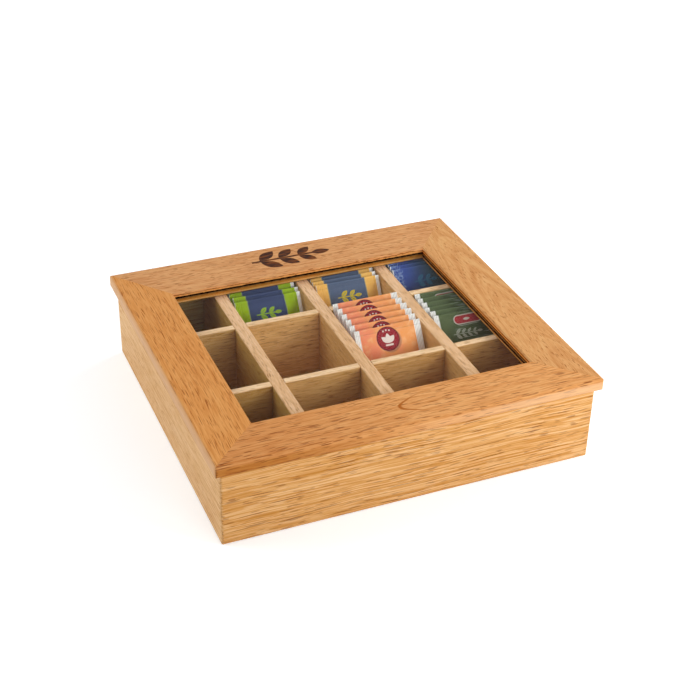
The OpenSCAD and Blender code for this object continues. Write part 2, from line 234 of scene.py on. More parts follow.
def timberGroup():
    k = timberKnobs
    colours = ("Pale", "Middle", "Deep", "Pore")
    numbers = ("Tilt", "RingWidth", "RingPull", "StreakPull", "StreakLength", "Coarse", "MottlePull",
               "FibrePull", "PoreLength", "PoreGap", "PoreShare", "LineCut", "LinePull")
    inputs = {"Vector": "Vector", "Seed": "Vector", "Pith": "Vector"}
    inputs.update({name: "Color" for name in colours})
    inputs.update({name: "Float" for name in numbers})
    outputs = {"Color": "Color", "Rough": "Float", "Height": "Float"}
    tree, given, result = newGroup("timberGrain", inputs, outputs)
    here = vectorTimes(given["Vector"], (1 / mm, 1 / mm, 1 / mm))
    seeded = vectorPlus(here, given["Seed"])

    stray = noise(seeded, k["stray"], 3, colour=True)
    stray = vectorMinus(stray, (0.5, 0.5, 0.5))
    stray = vectorTimes(stray, (0, 2 * k["strayReach"], 2 * k["strayReach"]))
    narrow = divided(1.0, given["Coarse"])
    strayed = vectorPlus(seeded, stray)
    grain = vectorTimes(strayed, joinVector(1.0, narrow, narrow))

    # growth rings: distance from the pith, which leans along the board by Tilt
    fromPith = splitVector(vectorMinus(vectorPlus(here, stray), given["Pith"]))
    across = vectorLength(joinVector(0.0, fromPith[1], fromPith[2]))
    ringPlace = plus(across, times(fromPith[0], given["Tilt"]))
    ring = slide(lineNoise(divided(ringPlace, given["RingWidth"]), 4, 0.7), 0.3, 0.7)

    drawn = joinVector(divided(1.0, given["StreakLength"]), k["streakAcross"], k["streakAcross"])
    streak = slide(noise(vectorTimes(grain, drawn), detail=1), 0.34, 0.66)
    fibre = noise(seeded, k["fibre"], roughness=0.6)
    mottle = noise(seeded, k["mottle"], 3, 0.55)

    depth = 0.5
    patterns = {"RingPull": ring, "StreakPull": streak, "MottlePull": mottle, "FibrePull": fibre}
    for pull, pattern in patterns.items():
        depth = timesPlus(minus(pattern, 0.5), given[pull], depth)
    colour = mixTone(slide(depth, 0.0, 0.5, kind="LINEAR"), given["Pale"], given["Middle"])
    colour = mixTone(slide(depth, 0.5, 1.0, kind="LINEAR"), colour, given["Deep"])

    # thin pale lines, then thin dark ones, both in clumps
    clump = noise(seeded, k["clump"])
    for start, repeat, paint in k["lines"]:
        line = noise(vectorPlus(grain, start), repeat, 1, 0.4)
        line = timesPlus(minus(clump, 0.5), k["lineClump"], line)
        line = slide(line, given["LineCut"], plus(given["LineCut"], k["lineSoft"]))
        colour = mixTone(times(line, given["LinePull"]), colour, given[paint])

    # pores: long cells, of which a share is open, each with its own length and darkness
    thin = divided(1.0, given["PoreGap"])
    stretch = joinVector(divided(1.0, given["PoreLength"]), thin, thin)
    cells = addNode(tree, "ShaderNodeTexVoronoi")
    feedNamed(cells, {"Vector": vectorTimes(strayed, stretch), "Scale": 1.0})
    luck = addNode(tree, "ShaderNodeSeparateColor")
    feed(luck.inputs[0], cells.outputs["Color"])
    poreSize = timesPlus(luck.outputs[1], k["poreSizeSpread"], k["poreSize"])
    pore = slide(cells.outputs["Distance"], poreSize, times(poreSize, k["poreCore"]))
    share = times(given["PoreShare"], slide(plus(ring, clump), 0.5, 1.3, 0.5, 1.5))
    pore = times(pore, isBelow(luck.outputs[0], share))
    pore = times(pore, timesPlus(luck.outputs[2], 1 - k["poreFaintest"], k["poreFaintest"]))

    feed(result["Color"], mixTone(pore, colour, given["Pore"]))
    rough = timesPlus(streak, k["streakRough"], k["rough"])
    feed(result["Rough"], timesPlus(pore, k["poreRough"], rough))
    height = timesPlus(streak, -k["streakDeep"], times(pore, -k["poreDeep"]))
    feed(result["Height"], timesPlus(fibre, -k["fibreDeep"], height))
    return tree


def arrisGroup():
    # 1 along the edges of a box, fading to 0 within Width
    inputs = {"Vector": "Vector", "Low": "Vector", "High": "Vector", "Width": "Float"}
    tree, given, result = newGroup("wornArris", inputs, {"Mask": "Float"})
    inward = vectorLowest(vectorMinus(given["Vector"], given["Low"]),
                          vectorMinus(given["High"], given["Vector"]))
    x, y, z = splitVector(inward)
    second = highest(lowest(x, y), lowest(highest(x, y), z))
    ragged = noise(given["Vector"], timberKnobs["arrisRepeat"], 3)
    width = times(given["Width"], slide(ragged, 0.3, 0.7, *timberKnobs["arrisSpread"]))
    feed(result["Mask"], slide(second, width, 0.0))
    return tree


timber = timberGroup()
wornArris = arrisGroup()

# what a look leaves out is taken from here; the pith is in millimetres from the board's middle:
# along the grain, across it, up
plainTimber = {"Tilt": 0.01, "RingWidth": 5, "RingPull": 0.2, "StreakPull": 0.32, "StreakLength": 16,
               "Coarse": 1.0, "MottlePull": 0.5, "FibrePull": 0.3, "PoreGap": 1.2, "LineCut": 0.62,
               "LinePull": 0.3, "gloss": 0.12}

timberLooks = {
    "lidFront": {"Pale": (229, 174, 112), "Middle": (212, 149, 89), "Deep": (184, 112, 50),
                 "Pore": (112, 50, 14), "Pith": (0, -160, -60), "StreakLength": 18, "Coarse": 1.4,
                 "MottlePull": 0.3, "PoreLength": 19, "PoreGap": 1.5, "PoreShare": 1.3, "LinePull": 0.5},
    "lidLeft": {"Pale": (226, 165, 98), "Middle": (211, 144, 77), "Deep": (186, 110, 46),
                "Pore": (138, 68, 20), "Pith": (0, 190, -50), "StreakPull": 0.26, "StreakLength": 24,
                "MottlePull": 0.35, "PoreLength": 26, "PoreGap": 1.05, "PoreShare": 1.8, "LineCut": 0.61,
                "LinePull": 0.5},
    "lidBack": {"Pale": (222, 170, 114), "Middle": (206, 148, 96), "Deep": (179, 113, 60),
                "Pore": (124, 66, 28), "Pith": (0, -170, -70), "Tilt": 0.015, "StreakPull": 0.36,
                "StreakLength": 14, "Coarse": 1.5, "FibrePull": 0.6, "PoreLength": 11, "PoreGap": 1.5,
                "PoreShare": 1.35},
    "lidRight": {"Pale": (219, 172, 114), "Middle": (206, 149, 92), "Deep": (181, 117, 61),
                 "Pore": (140, 76, 32), "Pith": (0, -5, -20), "Tilt": 0.085, "RingWidth": 2.2,
                 "RingPull": 0.34, "StreakPull": 0.24, "MottlePull": 0.4, "FibrePull": 0.5,
                 "PoreLength": 10, "PoreShare": 1.2, "LineCut": 0.64, "LinePull": 0.15},
    "baseFront": {"Pale": (236, 196, 146), "Middle": (212, 156, 90), "Deep": (184, 116, 38),
                  "Pore": (112, 50, 16), "Pith": (0, 40, -300), "Tilt": 0.012, "RingWidth": 2.0,
                  "RingPull": 0.4, "StreakPull": 0.4, "StreakLength": 130, "Coarse": 1.25,
                  "MottlePull": 0.35, "FibrePull": 0.0, "PoreLength": 60, "PoreGap": 1.4,
                  "PoreShare": 0.45, "LineCut": 0.61, "LinePull": 0.45},
    "baseSide": {"Pale": (244, 205, 154), "Middle": (227, 180, 123), "Deep": (205, 148, 84),
                 "Pore": (179, 111, 52), "Pith": (0, 30, 240), "Tilt": -0.02, "RingWidth": 3,
                 "RingPull": 0.4, "StreakPull": 0.3, "StreakLength": 24, "Coarse": 1.3, "MottlePull": 0.6,
                 "FibrePull": 0.7, "PoreLength": 18, "PoreGap": 1.4, "PoreShare": 0.75},
    "divider": {"Pale": (224, 179, 120), "Middle": (208, 158, 96), "Deep": (187, 132, 71),
                "Pore": (140, 86, 38), "Pith": (0, 30, -260), "Tilt": 0.015, "RingWidth": 2.6,
                "RingPull": 0.35, "Coarse": 1.1, "FibrePull": 0.7, "PoreLength": 12, "PoreShare": 1.15,
                "LineCut": 0.63, "LinePull": 0.45},
    "panel": {"Pale": (214, 172, 112), "Middle": (200, 154, 92), "Deep": (182, 132, 72),
              "Pore": (156, 108, 56), "Pith": (0, 10, -40), "Tilt": 0.06, "RingWidth": 6, "RingPull": 0.5,
              "StreakPull": 0.4, "StreakLength": 40, "MottlePull": 0.8, "FibrePull": 0.9,
              "PoreLength": 16, "PoreGap": 2, "PoreShare": 0.3, "LineCut": 0.64},
    "bead": {"Pale": (232, 176, 106), "Middle": (218, 158, 86), "Deep": (196, 128, 58),
             "Pore": (140, 78, 30), "Pith": (0, 60, -60), "RingWidth": 3, "RingPull": 0.5,
             "StreakPull": 0.5, "StreakLength": 40, "Coarse": 1.3, "FibrePull": 0.8,
             "PoreLength": 26, "PoreGap": 2, "PoreShare": 0.2, "LineCut": 0.64, "LinePull": 0.4, "gloss": 0},
}


def timberMaterial(name, lookName, nodeName, dice, marks=None):
    look = {**plainTimber, **timberLooks[lookName]}
    low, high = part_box(nodeName)
    middle = (low + high) / 2
    alongY = (high - low).y > (high - low).x
    material, tree, shader = newMaterial(name)
    place = objectPlace(tree)
    # laid: the board's middle at 0 and its grain along X
    turn = Matrix.Rotation(-math.pi / 2 if alongY else 0, 3, "Z")
    inputs = {"Vector": place, "Rotation": turn.to_euler(), "Location": -(turn @ middle)}
    laid = addStep(tree, "ShaderNodeMapping", inputs)
    feed(shader.inputs["Specular IOR Level"], look.pop("gloss"))
    look.update({part: tone(*look[part]) for part in ("Pale", "Middle", "Deep", "Pore")})
    seed = [dice.uniform(-900, 900) for axis in "xyz"]
    grain = useGroup(tree, timber, Vector=laid, Seed=seed, **look)
    colour = marks(place, grain["Color"]) if marks else grain["Color"]
    k = timberKnobs
    worn = useGroup(tree, wornArris, Vector=place, Low=low, High=high, Width=k["arrisWidth"])["Mask"]
    rubbed = mixTone(0.5, colour, look["Pale"])
    colour = mixTone(times(worn, k["arrisWear"]), colour, rubbed)
    feedNamed(shader, {"Base Color": colour, "Roughness": timesPlus(worn, k["arrisRough"], grain["Rough"])})
    addBump(shader, grain["Height"])
    return material


windowLow = Vector((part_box("lid_left_rail")[1].x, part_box("lid_front_rail")[1].y, 0))
windowHigh = Vector((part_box("lid_right_rail")[0].x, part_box("lid_back_rail")[0].y, 0))
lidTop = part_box("lid_back_rail")[1].z
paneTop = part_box("window_pane")[1].z
beadLow, beadTop = (corner.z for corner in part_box("back_bead"))

sawnEdge = {
    # how often its unevenness repeats in a metre: fine, wide, and along the torn line
    "fine": 300, "wide": 25, "broken": 70,
    "slope": 0.7, "freshFrom": 0.2 * mm, "freshTo": 0.9 * mm, "soft": 0.25 * mm,
    "reachFrom": 5 * mm, "reachTo": 3 * mm,
    # torn grain on the window's front and back sides: depths below the lid's top
    "lift": 1.4, "torn": 2.4 * mm, "tornWide": 0.8 * mm, "tornReach": 5 * mm,
    "tornCore": 0.3, "tornShare": 0.9, "lowShare": 0.85,
    # painted shade: the near-black band where the lip meets the pane
    "ragged": 2.4 * mm, "raggedShare": 0.45, "shadowGapFrom": 4.0 * mm,
    "tornTone": (166, 96, 40), "lowTone": (246, 172, 92), "black": (44, 8, 0),
    # left and right sides: a rust band, a golden one, then rust again
    "rustFrom": 1.8 * mm, "rustTo": 3.0 * mm, "rustAgain": 4.0 * mm,
    "rust": (160, 76, 6), "golden": (255, 172, 84),
}


def sawnWindowEdge(place, colour):
    # the window's sides are darker than the top, as if stained where the saw left them rough; on the front
    # and back sides a near-black band of painted shade runs just above the pane
    k = sawnEdge
    soft = k["soft"]
    half = (windowHigh - windowLow) / 2
    x, y, z = splitVector(vectorMinus(place, (windowLow + windowHigh) / 2))
    beside = minus(absolute(x), half.x)
    behind = minus(absolute(y), half.y)
    outside = highest(beside, behind)
    endwise = isAbove(behind, beside)    # 1 on the front and back sides
    ragged = times(minus(noise(place, k["fine"], 3, 0.65), 0.5), k["ragged"])
    wander = times(minus(noise(place, k["wide"]), 0.5), k["tornReach"])
    # measured down the side, and on across the chamfer and the top
    depth = minus(minus(lidTop, z), times(outside, k["slope"]))
    fresh = slide(depth, k["freshFrom"], k["freshTo"], 1.0, k["lift"])
    cut = multiplied(colour, joinVector(fresh, fresh, fresh))
    torn = minus(depth, plus(plus(ragged, wander), k["torn"]))
    line = slide(absolute(torn), k["tornWide"], k["tornWide"] * k["tornCore"], 0, k["tornShare"])
    line = times(line, slide(noise(place, k["broken"]), 0.35, 0.5, 0.4, 1.0))
    low = slide(torn, 0.0, k["tornWide"], 0, k["lowShare"])
    uneven = timesPlus(ragged, k["raggedShare"], depth)
    # painted shade in a near-black band toward the pane
    shadowGap = past(uneven, k["shadowGapFrom"], soft)
    ended = paintLayers(cut, [(low, k["lowTone"]), (line, k["tornTone"]), (shadowGap, k["black"])])
    rusty = past(uneven, k["rustFrom"], soft)
    golden = between(uneven, k["rustTo"], k["rustAgain"], soft)
    sided = paintLayers(cut, [(rusty, k["rust"]), (golden, k["golden"])])
    near = slide(outside, k["reachFrom"], k["reachTo"])
    near = times(near, slide(z, paneTop - mm, paneTop - 0.5 * mm))
    return mixTone(near, colour, mixTone(endwise, sided, ended))


beadLooks = {
    # painted shade toward the pane under the lip; widths are measured down from the bead's top
    "end": {"topWide": 0.3 * mm, "top": (34, 8, 0), "highWide": 1.1 * mm, "high": (150, 88, 32),
            "middleWide": 2.6 * mm, "middle": (192, 122, 52)},
    "side": {"topWide": 0.7 * mm, "top": (110, 54, 14), "highWide": 2.9 * mm, "high": (46, 10, 0),
             "middleWide": 3.4 * mm, "middle": (204, 122, 50)},
    # heights above its underside: a painted shadow line along the lower edge, and bare wood below it
    "soft": 0.2 * mm, "dark": (0.8 * mm, 0.4 * mm), "bare": (0.2 * mm, 0.05 * mm),
}


def beadShade(name):
    # painted shade, darker toward the pane under the lip, and a painted shadow line along the
    # lower edge, but bare wood underneath
    def mark(place, colour):
        k, soft = beadLooks[name], beadLooks["soft"]
        height = splitVector(place)[2]
        below, above = minus(beadTop, height), minus(height, beadLow)
        layers = []
        for part in ("middle", "high", "top"):
            layers.append((within(below, k[part + "Wide"], soft), k[part]))
        layers.append((slide(above, *beadLooks["dark"]), sawnEdge["black"]))
        layers.append((slide(above, *beadLooks["bare"]), colour))
        return paintLayers(colour, layers)
    return mark


endBead = beadShade("end")
sideBead = beadShade("side")

sanded = {"from": 0.9 * mm, "to": 0.3 * mm}    # depths below the dividers' tops


def sandedTopPaintedLight(lift, face=(1, 1, 1), leftFace=(1, 1, 1)):
    # the dividers' tops are sanded and paler than their faces; the faces get painted light on one
    # divider and painted shade on another, and what lies in the left column gets painted shade
    def mark(place, colour):
        x, z = splitVector(place)[::2]
        inLeft = isBelow(x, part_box("long_divider_left")[0].x)
        shade = mixTone(inLeft, face + (1,), leftFace + (1,))
        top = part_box("long_divider_middle")[1].z
        mask = slide(z, top - sanded["from"], top - sanded["to"])
        return multiplied(colour, mixTone(mask, shade, lift + (1,)))
    return mark


longTop = sandedTopPaintedLight((1.16, 1.24, 1.9))
# painted shade on the faces in the left column
crossTopLeftShade = sandedTopPaintedLight((1.36, 1.66, 2.85), leftFace=(0.82, 0.78, 0.6))
# painted shade, browner, on the left long divider's faces
shadedLongTop = sandedTopPaintedLight((1.16, 1.24, 1.9), (0.8, 0.83, 0.58))
# painted light on the faces, and painted shade on those in the left column
litCrossTopLeftShade = sandedTopPaintedLight((1.36, 1.66, 2.85), (1.15, 1.2, 1.3), (0.9, 0.92, 0.9))


def leafGroup():
    # 1 inside a leaf that lies along X between -1 and 1 and is 2 wide
    inputs = {"Vector": "Vector", "Soft": "Float"}
    tree, given, result = newGroup("leafShape", inputs, {"Mask": "Float", "Rib": "Float"})
    x, y = splitVector(given["Vector"])[:2]
    edge = minus(minus(1.0, times(x, x)), absolute(y))
    feed(result["Mask"], slide(edge, 0.0, given["Soft"]))
    rib = slide(absolute(y), 0.16, 0.06)
    feed(result["Rib"], times(rib, slide(x, 0.55, 0.45)))
    return tree


leafShape = leafGroup()


def leafMask(place, x, y, length, width, angle=0, ribbed=False):
    tree = treeOf(place)
    inputs = {"Vector": place, "Location": (x, y, 0), "Rotation": (0, 0, angle),
              "Scale": (length / 2, width / 2, 1)}
    laid = addStep(tree, "ShaderNodeMapping", inputs, vector_type="TEXTURE")
    made = useGroup(tree, leafShape, Vector=laid, Soft=0.12)
    return times(made["Mask"], minus(1.0, made["Rib"])) if ribbed else made["Mask"]


def either(masks):
    joined = masks[0]
    for mask in masks[1:]:
        joined = highest(joined, mask)
    return joined


sprigShape = {
    # where the first leaf sits, how much smaller the next pair is, and a leaf's angle from the stem
    "first": 0.55, "taper": 0.1, "spread": math.radians(38), "offStem": 0.4,
    "tipBack": 0.42, "tipLength": 0.85, "tipWidth": 0.8,
}


def sprigMask(place, x, y, length, leafLength, leafWidth, pairs, stemWidth, ribbed=True):
    # a stem along X with leaves in pairs and one at its tip
    k = sprigShape
    spread = k["spread"]
    masks = []
    step = (length - leafLength) / pairs
    for i in range(pairs):
        root = x - length / 2 + step * (i + k["first"])
        size = 1 - k["taper"] * i
        reach = leafLength * size / 2
        for side in (1, -1):
            leafX = root + reach * math.cos(spread)
            leafY = y + side * (reach * math.sin(spread) + stemWidth * k["offStem"])
            shape = (leafLength * size, leafWidth * size, side * spread)
            masks.append(leafMask(place, leafX, leafY, *shape, ribbed))
    tip = x + length / 2 - leafLength * k["tipBack"]
    masks.append(leafMask(place, tip, y, leafLength * k["tipLength"], leafWidth * k["tipWidth"], 0, ribbed))
    along, across = splitVector(vectorMinus(place, (x, y, 0)))[:2]
    stem = slide(absolute(across), stemWidth / 2, stemWidth * 0.3)
    ends = slide(absolute(plus(along, leafLength * 0.2)),
                 length / 2 - leafLength * 0.3, length / 2 - leafLength * 0.32)
    return either(masks + [times(stem, ends)])


burntMark = {
    "sprig": {"x": -1 * mm, "y": 131 * mm, "length": 80 * mm, "leafLength": 23 * mm, "leafWidth": 12 * mm,
              "stemWidth": 3.4 * mm, "pairs": 3, "ribbed": False},
    "patches": (90, 420, 420), "tones": ((44, 14, 0), (112, 58, 14)),
}


def burntSprig(place, colour):
    k = burntMark
    colour = sawnWindowEdge(place, colour)
    patchy = noise(place, k["patches"], 3, 0.6)
    burn = mixTones(slide(patchy, 0.4, 0.66), k["tones"])
    onTop = slide(splitVector(place)[2], lidTop - 1.2 * mm, lidTop - 0.6 * mm)
    return mixTone(times(sprigMask(place, **k["sprig"]), onTop), colour, burn)


# painted light: the left rail's outer edge, and the front rail's outer edge toward the right, are paler
paintedSideLight = {"tone": (226, 184, 142), "share": 0.7, "from": 2.4 * mm, "to": 0.8 * mm,
            "frontShare": 0.55, "frontFrom": -20 * mm, "frontTo": 100 * mm}
growthLine = {"x": -6.3 * mm, "y": -132.3 * mm, "open": 0.24, "round": 14 * mm, "width": 0.65 * mm,
              "end": 34 * mm, "stray": 5 * mm, "strayRepeat": 60, "tone": (166, 92, 30)}
# painted shade: the front rail's left end is darker and browner
leftEndShade = {"from": 10 * mm, "to": -120 * mm, "tones": ((243, 232, 222), (214, 191, 140)),
             "edgeFrom": 1.5 * mm, "edgeTo": 4.0 * mm}


def frontRailMarks(place, colour):
    # a curved growth line, painted shade on the left end, and painted light on the outer edge to the right
    k, w = growthLine, leftEndShade
    colour = sawnWindowEdge(place, colour)
    strayed = vectorMinus(noise(place, k["strayRepeat"], colour=True), (0.5, 0.5, 0.5))
    strayed = vectorTimes(strayed, (k["stray"], k["stray"], 0))
    x, y = splitVector(vectorMinus(vectorPlus(place, strayed), (k["x"], k["y"], 0)))[:2]
    arm = squareRoot(plus(times(y, y), k["round"] ** 2))
    gap = absolute(minus(minus(arm, k["round"]), times(x, k["open"])))
    mask = times(slide(gap, k["width"], k["width"] * 0.2), slide(x, k["end"], 0.0))
    colour = paintLayers(colour, [(mask, k["tone"])])
    x, z = splitVector(place)[::2]
    below = slide(z, lidTop - w["edgeFrom"], lidTop - w["edgeTo"])
    shade = mixTones(below, w["tones"])
    colour = multiplied(colour, shade, slide(x, w["from"], w["to"], kind="LINEAR"))
    # a painted highlight on the outer edge toward the right
    k = paintedSideLight
    rightward = slide(x, k["frontFrom"], k["frontTo"], 0, k["frontShare"], "LINEAR")
    return paintLayers(colour, [(times(rightward, below), k["tone"])])


def leftRailMarks(place, colour):
    # the outer edge of the left rail is paler than its top, as painted light
    k = paintedSideLight
    outward = minus(splitVector(place)[0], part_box("lid_left_rail")[0].x)
    mask = slide(outward, k["from"], k["to"], 0, k["share"])
    return paintLayers(sawnWindowEdge(place, colour), [(mask, k["tone"])])


insideShade = {"shade": (0.62, 0.72, 0.5, 1), "from": 1.5 * mm, "to": 0.5 * mm}


def shadedInside(place, colour):
    # the back board's inner face is darker and more olive than its outside, as painted shade
    k = insideShade
    depth = minus(splitVector(place)[1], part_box("long_divider_middle")[1].y)
    return multiplied(colour, k["shade"], slide(depth, k["from"], k["to"]))


easing = {"weld": 0.002 * mm, "flat": math.radians(0.3), "sharp": math.radians(40),
          "sharpPlain": math.radians(35)}


def easedCopy(nodeName, pieceName, ease):
    # the CAD piece with its triangles merged into flat faces and its sharp edges eased
    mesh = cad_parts[nodeName].data.copy()
    mesh.name = pieceName
    built = bmesh.new()
    built.from_mesh(mesh)
    bmesh.ops.remove_doubles(built, verts=built.verts, dist=easing["weld"])
    bmesh.ops.dissolve_limit(built, angle_limit=easing["flat"], verts=built.verts, edges=built.edges)
    built.to_mesh(mesh)
    built.free()
    if mesh.attributes.get("custom_normal"):
        mesh.attributes.remove(mesh.attributes["custom_normal"])
    mesh.materials.clear()
    piece = addObject(pieceName, mesh)
    for face in mesh.polygons:
        face.use_smooth = True
    if ease:
        bevel = piece.modifiers.new("easedEdges", "BEVEL")
        bevel.width = ease
        bevel.segments = 2
        bevel.limit_method = "ANGLE"
        bevel.angle_limit = easing["sharp"]
        bevel.use_clamp_overlap = True
    else:
        mesh.set_sharp_from_angle(angle=easing["sharpPlain"])
    weighted = piece.modifiers.new("flatFaces", "WEIGHTED_NORMAL")
    weighted.keep_sharp = True
    return piece


def camel(nodeName):
    first, *others = nodeName.split("_")
    return first + "".join(word.capitalize() for word in others)


def register(piece, nodeName, body):
    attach(piece, body)
    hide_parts(nodeName)


def dress(nodeName, body, material, ease):
    piece = easedCopy(nodeName, camel(nodeName), ease)
    piece.data.materials.append(material)
    register(piece, nodeName, body)


woodPieces = {
    # body, slot and eased edge: the nodes with their look and marks
    ("lid", "lid_wood", 0.25 * mm): {
        "lid_front_rail": ("lidFront", frontRailMarks),
        "lid_back_rail": ("lidBack", burntSprig),
        "lid_left_rail": ("lidLeft", leftRailMarks),
        "lid_right_rail": ("lidRight", sawnWindowEdge),
    },
    ("lid", "bead_wood", 0.3 * mm): {
        "front_bead": ("bead", endBead),
        "back_bead": ("bead", endBead),
        "left_bead": ("bead", sideBead),
        "right_bead": ("bead", sideBead),
    },
    ("box", "base_wood", 0.3 * mm): {
        "front_board": ("baseFront", None),
        "back_board": ("baseSide", shadedInside),
        "left_board": ("baseSide", None),
        "right_board": ("baseSide", None),
    },
    ("box", "panel_wood", 0.3 * mm): {
        "bottom_panel": ("panel", None),
    },
    ("box", "divider_wood", 0.45 * mm): {
        "long_divider_left": ("divider", shadedLongTop),
        "long_divider_middle": ("divider", longTop),
        "long_divider_right": ("divider", longTop),
        "cross_divider_front": ("divider", crossTopLeftShade),
        "cross_divider_back": ("divider", litCrossTopLeftShade),
    },
}


def makeWood():
    dice = random.Random(7)
    for (body, slotName, ease), pieces in woodPieces.items():
        for nodeName, (look, marks) in pieces.items():
            material = timberMaterial(camel(nodeName) + "Timber", look, nodeName, dice, marks)
            dress(nodeName, body, material, ease)
    print("wood dressed,", sum(map(len, woodPieces.values())), "pieces")


makeWood()

brassKnobs = {"tarnishRepeat": 160, "tarnishFrom": 0.42, "tarnishTo": 0.7, "tarnishShare": 0.45,
              "tarnishRough": 0.08, "brushShare": 0.35, "brushRough": 0.16, "brushDeep": 0.02}
brassLooks = {
    "hingeBrass": {"pale": (226, 190, 120), "deep": (176, 134, 66), "rough": 0.26, "brush": (20, 900, 900)},
    "pinBrass": {"pale": (214, 176, 106), "deep": (160, 120, 60), "rough": 0.22, "brush": (900, 60, 60)},
    "screwBrass": {"pale": (220, 184, 112), "deep": (150, 110, 54), "rough": 0.24, "brush": (500, 500, 500)},
}


def brassMaterial(name):
    k, look = brassKnobs, brassLooks[name]
    material, tree, shader = newMaterial(name)
    place = objectPlace(tree)
    brushed = noise(place, look["brush"], 4, 0.6)
    tarnish = slide(noise(place, k["tarnishRepeat"], 5, 0.6), k["tarnishFrom"], k["tarnishTo"])
    masks = (times(tarnish, k["tarnishShare"]), times(brushed, k["brushShare"]))
    colour = paintLayers(tone(*look["pale"]), [(mask, look["deep"]) for mask in masks])
    rough = timesPlus(tarnish, k["tarnishRough"], timesPlus(brushed, k["brushRough"], look["rough"]))
    feedNamed(shader, {"Base Color": colour, "Metallic": 1.0, "Roughness": rough})
    addBump(shader, times(brushed, k["brushDeep"]))
    return material


brassPieces = {
    # finish, slot and eased edge: the nodes with their body
    ("hingeBrass", "hinge_brass", 0.12 * mm): {
        "left_hinge_base_leaf": "box", "right_hinge_base_leaf": "box",
        "left_hinge_lid_leaf": "lid", "right_hinge_lid_leaf": "lid",
    },
    ("pinBrass", "pin_brass", 0.15 * mm): {"left_hinge_pin": "box", "right_hinge_pin": "box"},
    ("screwBrass", "screw_brass", 0): {"base_hinge_screws": "box", "lid_hinge_screws": "lid"},
}


def makeBrass():
    for (finish, slotName, ease), pieces in brassPieces.items():
        material = brassMaterial(finish)
        for nodeName, body in pieces.items():
            dress(nodeName, body, material, ease)
    print("brass dressed,", sum(map(len, brassPieces.values())), "pieces")


makeBrass()

paneLook = {"tint": (252, 254, 253), "smears": (14, 40, 14), "smearRough": 0.02, "bend": 1.08,
            "ease": 0.15 * mm}


def paneMaterial():
    k = paneLook
    material, tree, shader = newMaterial("clearPane")
    smears = noise(objectPlace(tree), k["smears"], 5, 0.6)
    rough = slide(smears, 0.5, 0.8, 0, k["smearRough"])
    feedNamed(shader, {"Base Color": tone(*k["tint"]), "Transmission Weight": 1.0, "IOR": k["bend"],
                       "Roughness": rough})
    through = addStep(tree, "ShaderNodeBsdfTransparent", {"Color": tone(*k["tint"])})
    path = addNode(tree, "ShaderNodeLightPath").outputs    # lamps and bounced light pass straight through
    share = highest(path["Is Shadow Ray"], path["Is Diffuse Ray"])
    both = addNode(tree, "ShaderNodeMixShader")
    feedAll(both.inputs, (share, shader.outputs[0], through))
    feed(tree.nodes["Material Output"].inputs["Surface"], both.outputs[0])
    return material


dress("window_pane", "lid", paneMaterial(), paneLook["ease"])
print("pane dressed")

sachet = {
    "film": 0.36 * mm,        # two sheets of paper at the edges
    "strip": 5.6 * mm,        # crimped white strip at each side
    "ridge": 1.4 * mm,        # from one crimp ridge to the next
    "ridgeHigh": 0.16 * mm,
    "seam": 4.5 * mm,         # flat seam at top and bottom
    "shoulder": 20 * mm,
    "cheek": 15 * mm,         # from a strip to the full middle
    "belly": 0.75,            # the lower, the fuller near the seams
    "coarse": 3 * mm, "fine": 1.5 * mm, "shoulderStep": 1.6 * mm,
    # how a paper in the stack slips, sways and buckles, and how much of it back, up or round each direction
    "slip": 0.45 * mm, "sway": math.radians(0.7), "crumple": 1.2 * mm, "waves": (45, 110, 28),
    "slipBack": 0.3, "swayShares": (0.6, 1.0, 0.8), "buckleBack": -0.86, "buckleUp": 0.5,
}

# what the papers keep clear of the CAD stack's box
stackClear = {"run": 0.4 * mm, "rise": 0.5 * mm, "end": 0.2 * mm, "front": 0.5 * mm, "bottom": 0.25 * mm}

# counts and pitches follow the CAD stacks
stacks = {
    "sachets_orange": {"count": 6, "pitch": 10.0 * mm, "full": 7.2 * mm, "seed": 4, "drift": 0},
    "sachets_dark_green": {"count": 6, "pitch": 8.2 * mm, "full": 5.4 * mm, "seed": 5, "drift": 0},
    "sachets_green": {"count": 7, "pitch": 8.6 * mm, "full": 6.0 * mm, "seed": 8, "drift": 0.65 * mm},
    "sachets_amber": {"count": 8, "pitch": 6.9 * mm, "full": 4.6 * mm, "seed": 3, "drift": 0.65 * mm},
    "sachets_blue": {"count": 8, "pitch": 6.6 * mm, "full": 4.3 * mm, "seed": 9, "drift": 0.3 * mm},
}


def stackPlan(nodeName):
    # lean and length follow from the CAD stack's box, its count and its pitch
    k, clear = stacks[nodeName], stackClear
    low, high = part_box(nodeName)
    run = (high.y - low.y) - (k["count"] - 1) * k["pitch"] - clear["run"]
    rise = high.z - low.z - clear["rise"]
    first = Vector(((low.x + high.x) / 2, low.y + clear["front"], low.z + clear["bottom"]))
    length = math.hypot(run, rise) - clear["end"]
    return {"lean": math.atan2(run, rise), "length": length, "width": high.x - low.x, "first": first}


def swell(distance, span):
    return math.sin(min(max(distance / span, 0), 1) * math.pi / 2) ** sachet["belly"]


def stations(marks, steps):
    # points from each mark to the next, about a step apart, and the last mark
    points = []
    for start, end, step in zip(marks, marks[1:], steps):
        count = max(1, round((end - start) / step))
        points += [start + (end - start) * i / count for i in range(count)]
    return points + [marks[-1]]


